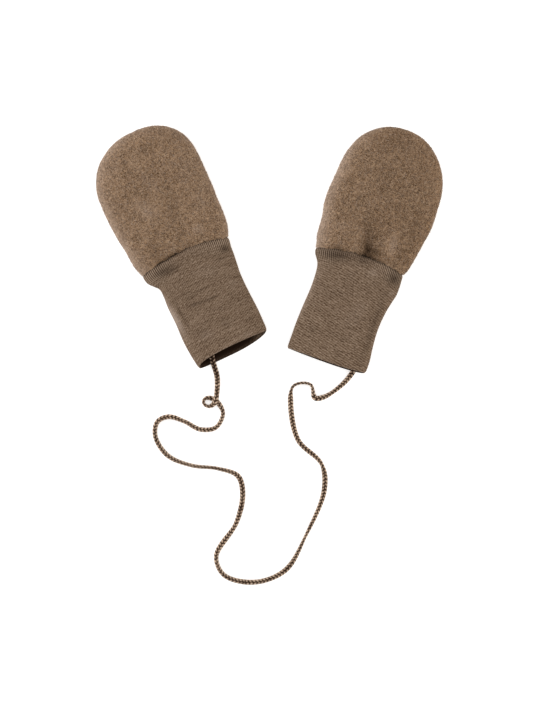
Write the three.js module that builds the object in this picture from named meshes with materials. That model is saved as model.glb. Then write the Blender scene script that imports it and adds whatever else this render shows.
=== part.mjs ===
// A pair of thumbless baby mittens, laid flat beside each other and joined by a knitted cord.
// Each mitten is two panels of brushed wool fleece, seamed round the edge, on a long cuff of fine knit.
// Millimetres, +Z up. The palm side rests on Z = 0, and the tips point away towards +Y.
import * as THREE from "three";
import { mergeVertices } from "three/addons/utils/BufferGeometryUtils.js";

// Driving dimensions
const FLEECE_WALL = 2.6; // one layer of brushed fleece
const CUFF_WALL = 2.0; // fine knit, doubled and folded over at the hem
const SEAM_GAP = 0.3; // between the pieces of a seam
const SIDE_SEAM_HEIGHT = 4.4; // of the seam round the edge, and of the cuff's side folds
const CROWN_POWER = 3.4; // higher is flatter on top and rounder at the edge
const FLAT_GAIN = 1.35; // how soon the underside reaches the surface it rests on
const CUFF_LENGTH = 67.5;
const WRIST_BOW = 4.8; // how far the wrist seam arches towards the tip at its middle
const BOW_REACH = 40; // how far from the wrist the cloth follows that arch
const MOUTH_POWER = 5; // how close to the hem the mouth's slant begins
const CORD_WIDTH = 3.0;
const CORD_THICKNESS = 1.9;
const PLACE = { x: -0.15, y: -0.77 }; // puts the middle of the two mittens over the origin

// Grid of each piece
const SIDE_STEPS = 11; // from the wrist to the shoulder of a panel
const TIP_STEPS = 14; // round the tip
const SPOKE_STEPS = 8; // from a panel's middle to its edge
const CUFF_STEPS = 15; // along a cuff
const ROUND_STEPS = 36; // round a cuff
const HEM_STEPS = 4; // over the fold of the hem
const CORD_SIDES = 8;
const CORD_STEPS = 84;

// Each mitten's own frame: the middle of the wrist seam is its origin and its tip points along +Y.
// tip: the rounded end, from the shoulder on. A higher power is squarer on that side.
// body: half-widths and crown height from the wrist to the shoulder.
// cuff: the same, downwards from the wrist. mouth: how far each side of the hem is set towards the tip.
// A fold is a soft trough: its middle, the half-length and direction of its run, its width and its depth.
const LEFT = {
  name: "left",
  wrist: { x: -54.1, y: -4.0, lean: 25.5, slant: -0.5 },
  tip: { length: 34.4, leftPower: 2.0, rightPower: 2.5 },
  body: [
    { at: 0, left: 32.4, right: 30.2, crown: 10.2 },
    { at: 2, left: 32.9, right: 31.1, crown: 11.1 },
    { at: 4, left: 33.5, right: 32.0, crown: 11.8 },
    { at: 8, left: 34.4, right: 33.1, crown: 12.3 },
    { at: 13, left: 35.0, right: 34.0, crown: 12.8 },
    { at: 20, left: 35.4, right: 34.4, crown: 13.0 },
    { at: 31, left: 36.6, right: 35.2, crown: 13.2 },
    { at: 43, left: 37.2, right: 35.7, crown: 13.2 },
    { at: 55, left: 36.7, right: 36.0, crown: 13.0 },
  ],
  cuff: [
    { at: 0, left: 32.3, right: 30.1, crown: 9.9 },
    { at: 3.5, left: 31.8, right: 29.6, crown: 10.4 },
    { at: 6, left: 30.8, right: 29.1, crown: 10.5 },
    { at: 9, left: 28.2, right: 28.9, crown: 10.3 },
    { at: 12, left: 25.7, right: 28.6, crown: 10.2 },
    { at: 17, left: 25.3, right: 28.0, crown: 10.1 },
    { at: 25, left: 25.9, right: 27.0, crown: 10.1 },
    { at: 37, left: 25.8, right: 26.9, crown: 10.3 },
    { at: 50, left: 26.3, right: 27.3, crown: 10.7 },
    { at: 60, left: 25.7, right: 27.1, crown: 11.3 },
    { at: 67.5, left: 24.7, right: 26.4, crown: 11.9 },
  ],
  mouth: { top: 2.5, under: -2.1, left: -1.4, right: 2.2 },
  folds: [
    { x: -1, y: 21, runX: 0.5, runY: 17, width: 5.5, depth: 0.8 },
    { x: -13, y: 8, runX: 10, runY: -3, width: 4.5, depth: 0.7 },
    { x: 22, y: -7, runX: 5, runY: 2, width: 4, depth: 0.7 },
    { x: -19, y: -24, runX: -1, runY: 13, width: 3.5, depth: 0.7 },
  ],
};

const RIGHT = {
  name: "right",
  wrist: { x: 60.6, y: -7.9, lean: -19.6, slant: 1.0 },
  tip: { length: 40.2, leftPower: 2.2, rightPower: 2.0 },
  body: [
    { at: 0, left: 31.5, right: 29.2, crown: 10.2 },
    { at: 2, left: 31.9, right: 30.2, crown: 11.1 },
    { at: 4, left: 32.4, right: 31.0, crown: 11.8 },
    { at: 8, left: 33.4, right: 31.9, crown: 12.3 },
    { at: 13, left: 33.9, right: 32.8, crown: 12.8 },
    { at: 20, left: 34.5, right: 33.9, crown: 13.0 },
    { at: 31, left: 36.3, right: 35.8, crown: 13.2 },
    { at: 40, left: 36.3, right: 36.5, crown: 13.2 },
    { at: 52, left: 35.0, right: 35.9, crown: 13.0 },
  ],
  cuff: [
    { at: 0, left: 31.4, right: 29.1, crown: 9.9 },
    { at: 3.5, left: 30.4, right: 29.3, crown: 10.4 },
    { at: 6, left: 28.8, right: 29.5, crown: 10.5 },
    { at: 9, left: 27.0, right: 29.6, crown: 10.3 },
    { at: 13, left: 26.1, right: 29.4, crown: 10.2 },
    { at: 18, left: 25.7, right: 28.2, crown: 10.1 },
    { at: 26, left: 25.6, right: 26.5, crown: 10.1 },
    { at: 38, left: 26.4, right: 25.5, crown: 10.1 },
    { at: 50, left: 27.1, right: 26.0, crown: 10.2 },
    { at: 60, left: 27.1, right: 27.1, crown: 10.3 },
    { at: 67.5, left: 27.0, right: 26.6, crown: 10.3 },
  ],
  mouth: { top: -0.8, under: -1.6, left: 0.5, right: 0.5 },
  folds: [
    { x: 0.5, y: 9, runX: -2, runY: 7, width: 5, depth: 1.6 },
    { x: -6, y: 27, runX: -5, runY: 10, width: 7, depth: 0.7 },
    { x: -17, y: -4, runX: 8, runY: -1, width: 4, depth: 0.8 },
    { x: 24, y: -7, runX: 3, runY: 4, width: 4, depth: 0.8 },
    { x: 19, y: -29, runX: -3, runY: 16, width: 4.5, depth: 0.7 },
  ],
};

// The cord's centre line, from its sewn end inside the left cuff to the one inside the right cuff.
const CORD_ROUTE = [
  [-40.6, -52.5, 3.3],
  [-35.7, -72.5, 3.4],
  [-34.5, -83.5, 1.5],
  [-34.6, -93.5, 2.3],
  [-35.6, -98.6, 3.2],
  [-39.2, -102.3, 1.6],
  [-43.0, -100.6, 1.1],
  [-42.4, -97.0, 1.1],
  [-38.4, -96.2, 1.1],
  [-33.4, -100.4, 1.1],
  [-30.7, -107.6, 1.1],
  [-35.5, -116.4, 1.1],
  [-45.5, -117.4, 1.1],
  [-55.8, -112.6, 1.1],
  [-66.5, -109.4, 1.1],
  [-74.2, -113.0, 1.1],
  [-75.0, -122.5, 1.1],
  [-67.0, -135.1, 1.1],
  [-51.5, -141.7, 1.1],
  [-33.5, -143.8, 1.1],
  [-20.8, -149.4, 1.1],
  [-17.6, -161.0, 1.1],
  [-22.3, -179.6, 1.1],
  [-35.2, -202.0, 1.1],
  [-29.4, -214.3, 1.1],
  [-9.3, -218.6, 1.1],
  [10.5, -210.6, 1.1],
  [24.5, -188.0, 1.1],
  [35.9, -158.5, 1.1],
  [34.6, -141.3, 1.1],
  [19.4, -125.2, 1.1],
  [13.9, -101.0, 1.1],
  [15.4, -89.8, 1.1],
  [21.0, -87.1, 1.1],
  [27.8, -88.8, 1.1],
  [30.5, -97.2, 1.1],
  [36.0, -96.4, 1.1],
  [47.1, -89.0, 1.3],
  [54.2, -81.0, 3.1],
  [61.4, -68.0, 3.3],
];

const FLEECE = new THREE.MeshStandardMaterial({ color: 0x836b57, roughness: 0.97, metalness: 0 });
const KNIT = new THREE.MeshStandardMaterial({ color: 0x725e4e, roughness: 0.92, metalness: 0 });
const CORD = new THREE.MeshStandardMaterial({ color: 0x7d6857, roughness: 0.92, metalness: 0 });

// A smooth value between a table's rows: a cubic between neighbours, its slopes taken from both sides of a row.
function between(rows, column, at) {
  const last = rows.length - 1;
  const slope = (i) => {
    const a = rows[Math.max(i - 1, 0)];
    const b = rows[Math.min(i + 1, last)];
    return (b[column] - a[column]) / (b.at - a.at);
  };
  const x = THREE.MathUtils.clamp(at, rows[0].at, rows[last].at);
  const i = Math.max(0, Math.min(last - 1, rows.findLastIndex((row) => row.at <= x)));
  const span = rows[i + 1].at - rows[i].at;
  const s = (x - rows[i].at) / span;
  const rise = rows[i + 1][column] - rows[i][column];
  const a = slope(i) * span - rise;
  const b = rise - slope(i + 1) * span;
  return rows[i][column] + rise * s + s * (1 - s) * (a * (1 - s) + b * s);
}

// 1 on a section's middle line and 0 at its edge, with a level top and an upright edge.
const crownShare = (r) => Math.sqrt(Math.max(0, 1 - Math.pow(Math.abs(r), CROWN_POWER)));
const underShare = (r) => Math.min(1, FLAT_GAIN * crownShare(r));

// The depth of a mitten's folds at a point of its own frame.
function foldDepth(folds, x, y) {
  return folds.reduce((sum, fold) => {
    const run = Math.hypot(fold.runX, fold.runY);
    const along = ((x - fold.x) * fold.runX + (y - fold.y) * fold.runY) / (run * run);
    const across = ((x - fold.x) * fold.runY - (y - fold.y) * fold.runX) / (run * fold.width);
    return sum + fold.depth * Math.exp(-along * along * 1.5 - across * across * 2);
  }, 0);
}

// How far the cloth beside the wrist seam is drawn towards the tip, at a share r of the half-width.
function bow(mitten, r, fromWrist) {
  const fade = Math.max(0, 1 - Math.abs(fromWrist) / BOW_REACH) ** 2;
  return (WRIST_BOW * (1 - r * r) + mitten.wrist.slant * r) * fade;
}

// A closed wall between an outer and an inner grid of points. Free edges get a rim.
function wall(outer, inner, { closedRound, rims }) {
  const positions = [];
  const triangle = (a, b, c) => {
    if (a.distanceTo(b) > 1e-4 && b.distanceTo(c) > 1e-4 && c.distanceTo(a) > 1e-4) {
      positions.push(...a, ...b, ...c);
    }
  };
  const quad = (a, b, c, d) => {
    triangle(a, b, c);
    triangle(a, c, d);
  };
  const rows = outer.length;
  const columns = outer[0].length;
  const next = (j) => (closedRound ? (j + 1) % columns : j + 1);
  for (let i = 0; i + 1 < rows; i++) {
    for (let j = 0; j < (closedRound ? columns : columns - 1); j++) {
      quad(outer[i][j], outer[i][next(j)], outer[i + 1][next(j)], outer[i + 1][j]);
      quad(inner[i][j], inner[i + 1][j], inner[i + 1][next(j)], inner[i][next(j)]);
    }
  }
  for (let j = 0; j < (closedRound ? columns : columns - 1); j++) {
    if (rims.includes("first")) quad(outer[0][j], inner[0][j], inner[0][next(j)], outer[0][next(j)]);
    if (rims.includes("last")) {
      const [o, n] = [outer[rows - 1], inner[rows - 1]];
      quad(o[j], o[next(j)], n[next(j)], n[j]);
    }
  }
  for (let i = 0; i + 1 < rows && rims.includes("edge"); i++) {
    const [o, n, p, q] = [outer[i], inner[i], outer[i + 1], inner[i + 1]];
    quad(o[columns - 1], n[columns - 1], q[columns - 1], p[columns - 1]);
  }
  const geometry = new THREE.BufferGeometry();
  geometry.setAttribute("position", new THREE.Float32BufferAttribute(positions, 3));
  const merged = mergeVertices(geometry, 1e-4);
  merged.computeVertexNormals();
  return merged;
}

// The spokes of a panel, clockwise from the left end of the wrist, over the tip, to the right end.
// Each runs from the panel's middle line to its edge.
function spokes(mitten) {
  const shoulder = mitten.body[mitten.body.length - 1];
  const station = (k) => shoulder.at * (k / SIDE_STEPS) ** 1.15;
  const side = (key, sign) => (k) => {
    const y = station(k);
    const crown = between(mitten.body, "crown", y);
    return { x: 0, y, crown, edgeX: sign * between(mitten.body, key, y), edgeY: y };
  };
  const round = (k) => {
    const angle = Math.PI * (1 - k / TIP_STEPS);
    const [c, s] = [Math.cos(angle), Math.sin(angle)];
    const half = c < 0 ? shoulder.left : shoulder.right;
    const power = 2 / (c < 0 ? mitten.tip.leftPower : mitten.tip.rightPower);
    return {
      x: 0,
      y: shoulder.at,
      crown: shoulder.crown,
      edgeX: half * Math.sign(c) * Math.abs(c) ** power,
      edgeY: shoulder.at + mitten.tip.length * Math.abs(s) ** power,
    };
  };
  const up = Array.from({ length: SIDE_STEPS }, (_, k) => side("left", -1)(k));
  const over = Array.from({ length: TIP_STEPS + 1 }, (_, k) => round(k));
  const down = Array.from({ length: SIDE_STEPS }, (_, k) => side("right", 1)(SIDE_STEPS - 1 - k));
  return [...up, ...over, ...down];
}

// One fleece panel. The top one is crowned and folded, and the palm one lies flat and turns up at its edge.
function panel(mitten, isTop) {
  const face = (inset) =>
    spokes(mitten).map((spoke) => {
      const length = Math.hypot(spoke.edgeX - spoke.x, spoke.edgeY - spoke.y);
      const side = Math.sign(spoke.edgeX);
      return Array.from({ length: SPOKE_STEPS + 1 }, (_, j) => {
        const r = Math.sin((Math.PI / 2) * (j / SPOKE_STEPS));
        const share = r * (1 - inset / length);
        const x = spoke.x + (spoke.edgeX - spoke.x) * share;
        const flatY = spoke.y + (spoke.edgeY - spoke.y) * share;
        const y = flatY + bow(mitten, r * side, flatY) + SEAM_GAP / 2;
        const seam = SIDE_SEAM_HEIGHT + (isTop ? SEAM_GAP / 2 : -SEAM_GAP / 2);
        const crown = spoke.crown - inset - foldDepth(mitten.folds, x, y);
        const z = isTop
          ? seam + (crown - seam) * crownShare(r)
          : inset + (seam - inset) * (1 - underShare(r));
        return new THREE.Vector3(x, y, z);
      });
    });
  const [outer, inner] = [face(0), face(FLEECE_WALL)];
  const turned = isTop ? [inner, outer] : [outer, inner];
  return wall(...turned, { closedRound: false, rims: ["first", "last", "edge"] });
}

// One cuff: a flattened tube of doubled knit, wide at the wrist seam, with a rounded fold at its hem.
function cuff(mitten) {
  const ring = (share, inset, past) =>
    Array.from({ length: ROUND_STEPS }, (_, j) => {
      const angle = (2 * Math.PI * j) / ROUND_STEPS;
      const [c, s] = [Math.cos(angle), Math.sin(angle)];
      const at = CUFF_LENGTH * share;
      const half = between(mitten.cuff, c < 0 ? "left" : "right", at) - inset;
      const x = c * half;
      const [face, end] = [s > 0 ? "top" : "under", c < 0 ? "left" : "right"];
      const slant = mitten.mouth[face] * s * s + mitten.mouth[end] * c * c;
      const y = -SEAM_GAP / 2 - at - past + bow(mitten, c, at) + slant * share ** MOUTH_POWER;
      const crown = between(mitten.cuff, "crown", at) - inset - foldDepth(mitten.folds, x, y);
      const z =
        s > 0
          ? SIDE_SEAM_HEIGHT + (crown - SIDE_SEAM_HEIGHT) * crownShare(c)
          : inset + (SIDE_SEAM_HEIGHT - inset) * (1 - underShare(c));
      return new THREE.Vector3(x, y, z);
    });
  const shares = Array.from({ length: CUFF_STEPS + 1 }, (_, i) => (i / CUFF_STEPS) ** 1.2);
  const outer = shares.map((share) => ring(share, 0, 0));
  const inner = shares.map((share) => ring(share, CUFF_WALL, 0));
  const half = CUFF_WALL / 2;
  for (let i = 1; i < HEM_STEPS; i++) {
    const turn = (Math.PI / 2) * (i / HEM_STEPS);
    outer.push(ring(1, half * (1 - Math.cos(turn)), half * Math.sin(turn)));
    inner.push(ring(1, half * (1 + Math.cos(turn)), half * Math.sin(turn)));
  }
  outer.push(ring(1, half, half));
  inner.push(ring(1, half, half));
  return wall(outer, inner, { closedRound: true, rims: ["first"] });
}

// A smooth route whose steps lie evenly between its own points, which are closer where the cord turns hard.
class Route extends THREE.CatmullRomCurve3 {
  getUtoTmapping(u) {
    return u;
  }
}

// The cord: a flat knitted tube laid along its route. Its section's first axis is upright.
function cord() {
  const route = new Route(CORD_ROUTE.map((point) => new THREE.Vector3(...point)), false, "centripetal");
  const section = new THREE.Shape(
    Array.from({ length: CORD_SIDES }, (_, i) => {
      const angle = (2 * Math.PI * i) / CORD_SIDES;
      return new THREE.Vector2((CORD_THICKNESS / 2) * Math.cos(angle), (CORD_WIDTH / 2) * Math.sin(angle));
    }),
  );
  return new THREE.ExtrudeGeometry(section, { steps: CORD_STEPS, extrudePath: route });
}

function addMesh(group, name, geometry, material) {
  const mesh = new THREE.Mesh(geometry, material);
  mesh.name = name;
  group.add(mesh);
}

const pair = new THREE.Group();
pair.position.set(PLACE.x, PLACE.y, 0);
for (const mitten of [LEFT, RIGHT]) {
  const group = new THREE.Group();
  group.position.set(mitten.wrist.x, mitten.wrist.y, 0);
  group.rotation.z = THREE.MathUtils.degToRad(mitten.wrist.lean);
  addMesh(group, `${mitten.name}_top_panel`, panel(mitten, true), FLEECE);
  addMesh(group, `${mitten.name}_palm_panel`, panel(mitten, false), FLEECE);
  addMesh(group, `${mitten.name}_cuff`, cuff(mitten), KNIT);
  pair.add(group);
}
addMesh(pair, "cord", cord(), CORD);

export default pair;
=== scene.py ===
import math

import bmesh
import bpy
import numpy as np
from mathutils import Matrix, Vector


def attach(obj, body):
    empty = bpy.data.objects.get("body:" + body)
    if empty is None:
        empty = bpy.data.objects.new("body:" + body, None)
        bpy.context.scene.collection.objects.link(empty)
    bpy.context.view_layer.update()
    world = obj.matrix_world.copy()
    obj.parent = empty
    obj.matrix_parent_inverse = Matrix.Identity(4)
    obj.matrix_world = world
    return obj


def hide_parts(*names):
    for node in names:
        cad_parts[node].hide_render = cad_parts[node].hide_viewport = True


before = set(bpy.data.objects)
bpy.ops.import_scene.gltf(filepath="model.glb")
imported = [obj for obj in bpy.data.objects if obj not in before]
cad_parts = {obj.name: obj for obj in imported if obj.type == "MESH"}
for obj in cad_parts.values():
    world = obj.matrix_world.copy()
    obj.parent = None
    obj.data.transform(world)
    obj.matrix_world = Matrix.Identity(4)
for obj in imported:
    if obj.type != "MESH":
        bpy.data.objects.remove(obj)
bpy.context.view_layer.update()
MM = 0.001
PLACE = np.array([-0.15, -0.77, 0.0])  # puts the middle of the two mittens over the origin, in mm


# The table, the camera straight above it and the light.
# The pair lies on a plain white sweep that glows a little, as a light table does, so shadows stay faint.
# A soft window light comes from the left, and the pale room fills in the rest.
camera_data = bpy.data.cameras.new("camera")
camera_data.lens = 85
camera_data.sensor_width = 36
camera_data.clip_start = 0.02
camera = bpy.data.objects.new("camera", camera_data)
camera.location = Vector((-1.8, -70.4, 1113.0)) * MM
bpy.context.scene.collection.objects.link(camera)
bpy.context.scene.camera = camera


def area_light(name, place, aim, size, power, colour):
    """A square light of that width at place, turned towards aim."""
    data = bpy.data.lights.new(name, "AREA")
    data.size = size
    data.energy = power
    data.color = colour
    lamp = bpy.data.objects.new(name, data)
    lamp.location = place
    lamp.rotation_euler = (Vector(aim) - Vector(place)).to_track_quat("-Z", "Y").to_euler()
    bpy.context.scene.collection.objects.link(lamp)


area_light("window", (-1.0, 0.2, 0.36), (0, -0.02, 0), size=0.6, power=8.0, colour=(1.0, 0.98, 0.99))
area_light("room", (1.0, 0.0, 0.4), (0, -0.02, 0), size=0.8, power=4.5, colour=(1.0, 0.9, 0.78))
area_light("ceiling", (0.1, -0.1, 1.6), (0, -0.05, 0), size=1.4, power=7.0, colour=(1.0, 0.99, 0.98))
world = bpy.data.worlds.new("room")
world.use_nodes = True
world.node_tree.nodes["Background"].inputs["Color"].default_value = (1.0, 1.0, 1.0, 1)
world.node_tree.nodes["Background"].inputs["Strength"].default_value = 0.7
bpy.context.scene.world = world
bpy.context.scene.view_settings.view_transform = "Standard"

FLOOR_REACH = 6
FLOOR_DROP = 0.0001  # keeps the floor clear of the cloth that rests on it
floor_corners = [(x * FLOOR_REACH, y * FLOOR_REACH, 0) for x, y in ((-1, -1), (1, -1), (1, 1), (-1, 1))]
floor_mesh = bpy.data.meshes.new("floor")
floor_mesh.from_pydata(floor_corners, [], [(0, 1, 2, 3)])
floor = bpy.data.objects.new("floor", floor_mesh)
floor.location.z = -FLOOR_DROP
bpy.context.scene.collection.objects.link(floor)
floor_paint = bpy.data.materials.new("white_sweep")
floor_paint.use_nodes = True
floor_shader = floor_paint.node_tree.nodes["Principled BSDF"]
floor_shader.inputs["Base Color"].default_value = (0.86, 0.86, 0.86, 1)
floor_shader.inputs["Roughness"].default_value = 0.9
floor_shader.inputs["Emission Color"].default_value = (1.0, 0.99, 0.98, 1)
floor_shader.inputs["Emission Strength"].default_value = 0.4
floor_mesh.materials.append(floor_paint)


# The cord, a thin tube of wool knitted on a few needles, flattened and turned over here and there.
# It is sewn inside each cuff, leaves by the mouths and lies loose, crossing itself below the left cuff.
# Each face shows one column of slanting stitches, staggered about its middle line as in a plait.
CORD_WIDTH = 3.7
CORD_THICKNESS = 1.9
CORD_STITCH = 2.3  # along the cord
CORD_RING_STEP = 0.26
CORD_RING_POINTS = 32
CORD_ROUTE = np.array([
    (-40.6, -52.5, 3.3), (-37.2, -72.5, 3.4), (-34.3, -83.5, 1.7), (-34.4, -93.5, 2.6),
    (-35.2, -98.6, 3.6), (-37.0, -101.7, 2.7), (-39.9, -102.9, 1.7), (-42.6, -101.7, 1.1),
    (-43.3, -99.4, 1.1), (-41.6, -97.5, 1.1), (-37.6, -97.8, 1.1), (-33.7, -100.6, 1.1),
    (-30.4, -107.6, 1.1), (-35.2, -116.9, 1.1),
    (-45.6, -118.1, 1.1), (-55.9, -112.9, 1.1), (-66.5, -109.8, 1.1), (-73.8, -113.2, 1.1),
    (-75.2, -122.6, 1.1), (-67.2, -135.3, 1.1), (-51.6, -141.9, 1.1), (-33.6, -144.1, 1.1),
    (-20.5, -149.1, 1.1), (-17.4, -161.0, 1.1), (-21.6, -179.9, 1.1), (-34.9, -202.0, 1.1),
    (-29.6, -214.6, 1.1), (-9.3, -219.2, 1.1), (11.0, -211.1, 1.1), (24.5, -188.0, 1.1),
    (36.5, -158.6, 1.1), (34.8, -141.2, 1.1), (19.3, -125.2, 1.1), (14.3, -101.0, 1.1),
    (15.7, -90.0, 1.1), (21.0, -87.5, 1.1), (27.8, -88.8, 1.1), (30.4, -97.3, 1.1),
    (36.2, -96.8, 1.1), (47.4, -89.4, 1.3), (54.6, -81.2, 3.1), (61.4, -68.0, 3.3),
])
# How far the flat tube is turned over, in degrees, at a length along it in mm: 0 lies flat, 90 on edge.
CORD_TURN = np.array([
    (0, 0), (34, 4), (43, 25), (50, 18), (55, 70), (60, 80), (65, 30), (71, 14), (78, 50),
    (88, 45), (100, 35), (113, 50), (124, 25), (140, 34), (155, 26), (168, 48), (190, 60),
    (202, 34), (210, 0), (226, 8), (242, 46), (253, 10), (266, 42), (280, 30), (292, 14),
    (311, 28), (322, 8), (334, 40), (346, 72), (358, 50), (372, 36), (380, 16), (389, 0),
    (397, 58), (408, 36), (422, 30), (436, 2), (448, 0), (455, 84), (470, 92), (476, 52),
    (480, 5), (486, 30), (492, 48), (500, 30), (508, 10), (530, 0),
], float)


def smooth_route(points, step):
    """A centripetal Catmull-Rom line through the points, put at even steps of its length.
    Between two points it is a blend of blends of straight lines, each by the share of knot distance."""
    fine_steps = 9000
    ends = np.vstack([2 * points[0] - points[1], points, 2 * points[-1] - points[-2]])
    knots = np.concatenate([[0], np.cumsum(np.sqrt(np.linalg.norm(np.diff(ends, axis=0), axis=1)))])
    t = np.linspace(knots[1], knots[-2], fine_steps)
    i = np.clip(np.searchsorted(knots, t, "right") - 1, 1, len(points) - 1)
    k = [knots[i + n][:, None] for n in (-1, 0, 1, 2)]
    p = [ends[i + n] for n in (-1, 0, 1, 2)]
    t = t[:, None]

    def blend(a, b, ta, tb):
        return a * (tb - t) / (tb - ta) + b * (t - ta) / (tb - ta)

    first = [blend(p[n], p[n + 1], k[n], k[n + 1]) for n in range(3)]
    second = [blend(first[n], first[n + 1], k[n], k[n + 2]) for n in range(2)]
    line = blend(second[0], second[1], k[1], k[2])
    length = np.concatenate([[0], np.cumsum(np.linalg.norm(np.diff(line, axis=0), axis=1))])
    even = np.linspace(0, length[-1], int(length[-1] / step) + 1)
    return np.stack([np.interp(even, length, line[:, c]) for c in range(3)], 1), even


def grid_faces(rows, columns, round_columns=False):
    """The quads of a grid of points, as point numbers.
    With round_columns its last column meets its first."""
    i = np.arange(rows - 1)[:, None]
    j = np.arange(columns if round_columns else columns - 1)[None, :]
    n = (j + 1) % columns
    quads = [i * columns + j, i * columns + n, (i + 1) * columns + n, (i + 1) * columns + j]
    return np.stack(quads, -1).reshape(-1, 4)


def mesh_object(name, points, faces, material, merge=None, uvs=None, **attributes):
    """A smooth mesh from points in mm and equal-sided faces.
    uvs and the named attributes are per point, and points closer than merge are joined."""
    mesh = bpy.data.meshes.new(name)
    sides = faces.shape[1]
    mesh.vertices.add(len(points))
    mesh.vertices.foreach_set("co", (np.asarray(points) * MM).astype(np.float32).ravel())
    mesh.loops.add(faces.size)
    mesh.loops.foreach_set("vertex_index", faces.astype(np.int32).ravel())
    mesh.polygons.add(len(faces))
    mesh.polygons.foreach_set("loop_start", np.arange(0, faces.size, sides, dtype=np.int32))
    mesh.polygons.foreach_set("use_smooth", np.ones(len(faces), bool))
    mesh.update(calc_edges=True)
    if uvs is not None:
        layer = mesh.uv_layers.new(name="stitches")
        layer.data.foreach_set("uv", uvs.reshape(-1, 2)[faces.ravel()].astype(np.float32).ravel())
    for key, values in attributes.items():
        attribute = mesh.attributes.new(key, "FLOAT", "POINT")
        attribute.data.foreach_set("value", values.astype(np.float32).ravel())
    mesh.materials.append(material)
    if merge:
        work = bmesh.new()
        work.from_mesh(mesh)
        bmesh.ops.remove_doubles(work, verts=work.verts, dist=merge * MM)
        bmesh.ops.dissolve_degenerate(work, edges=work.edges, dist=1e-9)
        work.to_mesh(mesh)
        work.free()
    piece = bpy.data.objects.new(name, mesh)
    bpy.context.scene.collection.objects.link(piece)
    return piece


def shader_group(name, inputs, outputs):
    """An empty shader node group with those sockets, a list of (name, kind, value)."""
    group = bpy.data.node_groups.new(name, "ShaderNodeTree")
    for socket, kind, value in inputs:
        made = group.interface.new_socket(socket, in_out="INPUT", socket_type=kind)
        made.default_value = value
    for socket, kind in outputs:
        group.interface.new_socket(socket, in_out="OUTPUT", socket_type=kind)
    return group, group.nodes.new("NodeGroupInput"), group.nodes.new("NodeGroupOutput")


def node(tree, kind, values=(), **settings):
    """A node of that kind with its settings, its inputs set from (name or number, value or socket)."""
    made = tree.nodes.new(kind)
    for key, value in settings.items():
        setattr(made, key, value)
    for key, value in values:
        if isinstance(value, bpy.types.NodeSocket):
            tree.links.new(value, made.inputs[key])
        else:
            made.inputs[key].default_value = value
    return made


def maths(tree, operation, *values):
    """The result of one Math node on numbers or sockets."""
    return node(tree, "ShaderNodeMath", list(enumerate(values)), operation=operation).outputs[0]


def mix(tree, share, a, b):
    """Two colours mixed by a share from 0 to 1."""
    made = node(tree, "ShaderNodeMix", [("Factor", share)], data_type="RGBA")
    for socket, value in ((made.inputs[6], a), (made.inputs[7], b)):
        if isinstance(value, bpy.types.NodeSocket):
            tree.links.new(value, socket)
        else:
            socket.default_value = (*value, 1)
    return made.outputs[2]


def noise(tree, vector, scale, detail=2.0, roughness=0.5, curl=0.0):
    """A Noise Texture's value on those coordinates, its lumps drawn out into curls."""
    values = [("Vector", vector), ("Scale", scale), ("Detail", detail),
              ("Roughness", roughness), ("Distortion", curl)]
    return node(tree, "ShaderNodeTexNoise", values).outputs["Fac"]


def spread(tree, value, low, high, to_low=0.0, to_high=1.0):
    """A value stretched from one range to another, and held inside it."""
    values = [("Value", value), ("From Min", low), ("From Max", high),
              ("To Min", to_low), ("To Max", to_high)]
    return node(tree, "ShaderNodeMapRange", values).outputs["Result"]


def melange_group():
    """Wool melange: three dyed browns mixed by a sum of three noises, mostly the fine fibre noise,
    some of the tufts and a little of the soft clouds. Below its middle the sum times Contrast
    draws Middle towards Dark, and above it towards Light. Height is the tufts with some fibre."""
    group, entry, out = shader_group(
        "wool_melange",
        [("Vector", "NodeSocketVector", (0, 0, 0)), ("Dark", "NodeSocketColor", (0, 0, 0, 1)),
         ("Middle", "NodeSocketColor", (0, 0, 0, 1)), ("Light", "NodeSocketColor", (0, 0, 0, 1)),
         ("Fibre", "NodeSocketFloat", 1500.0), ("Tuft", "NodeSocketFloat", 600.0),
         ("Cloud", "NodeSocketFloat", 60.0), ("Contrast", "NodeSocketFloat", 1.0),
         ("Curl", "NodeSocketFloat", 1.4)],
        [("Colour", "NodeSocketColor"), ("Height", "NodeSocketFloat")],
    )
    fibre = noise(group, entry.outputs["Vector"], entry.outputs["Fibre"], 1.0, 0.5, entry.outputs["Curl"])
    tuft = noise(group, entry.outputs["Vector"], entry.outputs["Tuft"], 2.0, 0.55)
    cloud = noise(group, entry.outputs["Vector"], entry.outputs["Cloud"], 2.0, 0.5)
    fibre_share, tuft_share, cloud_share = 0.77, 0.15, 0.08
    total = maths(group, "MULTIPLY", fibre, fibre_share)
    total = maths(group, "ADD", total, maths(group, "MULTIPLY", tuft, tuft_share))
    total = maths(group, "ADD", total, maths(group, "MULTIPLY", cloud, cloud_share))
    centred = maths(group, "MULTIPLY", maths(group, "SUBTRACT", total, 0.5), entry.outputs["Contrast"])
    dark = spread(group, centred, 0.0, -0.14)
    light = spread(group, centred, 0.0, 0.2)
    colour = mix(group, dark, entry.outputs["Middle"], entry.outputs["Dark"])
    colour = mix(group, light, colour, entry.outputs["Light"])
    group.links.new(colour, out.inputs["Colour"])
    group.links.new(maths(group, "ADD", maths(group, "MULTIPLY", fibre, 0.4), tuft), out.inputs["Height"])
    return group


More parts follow.
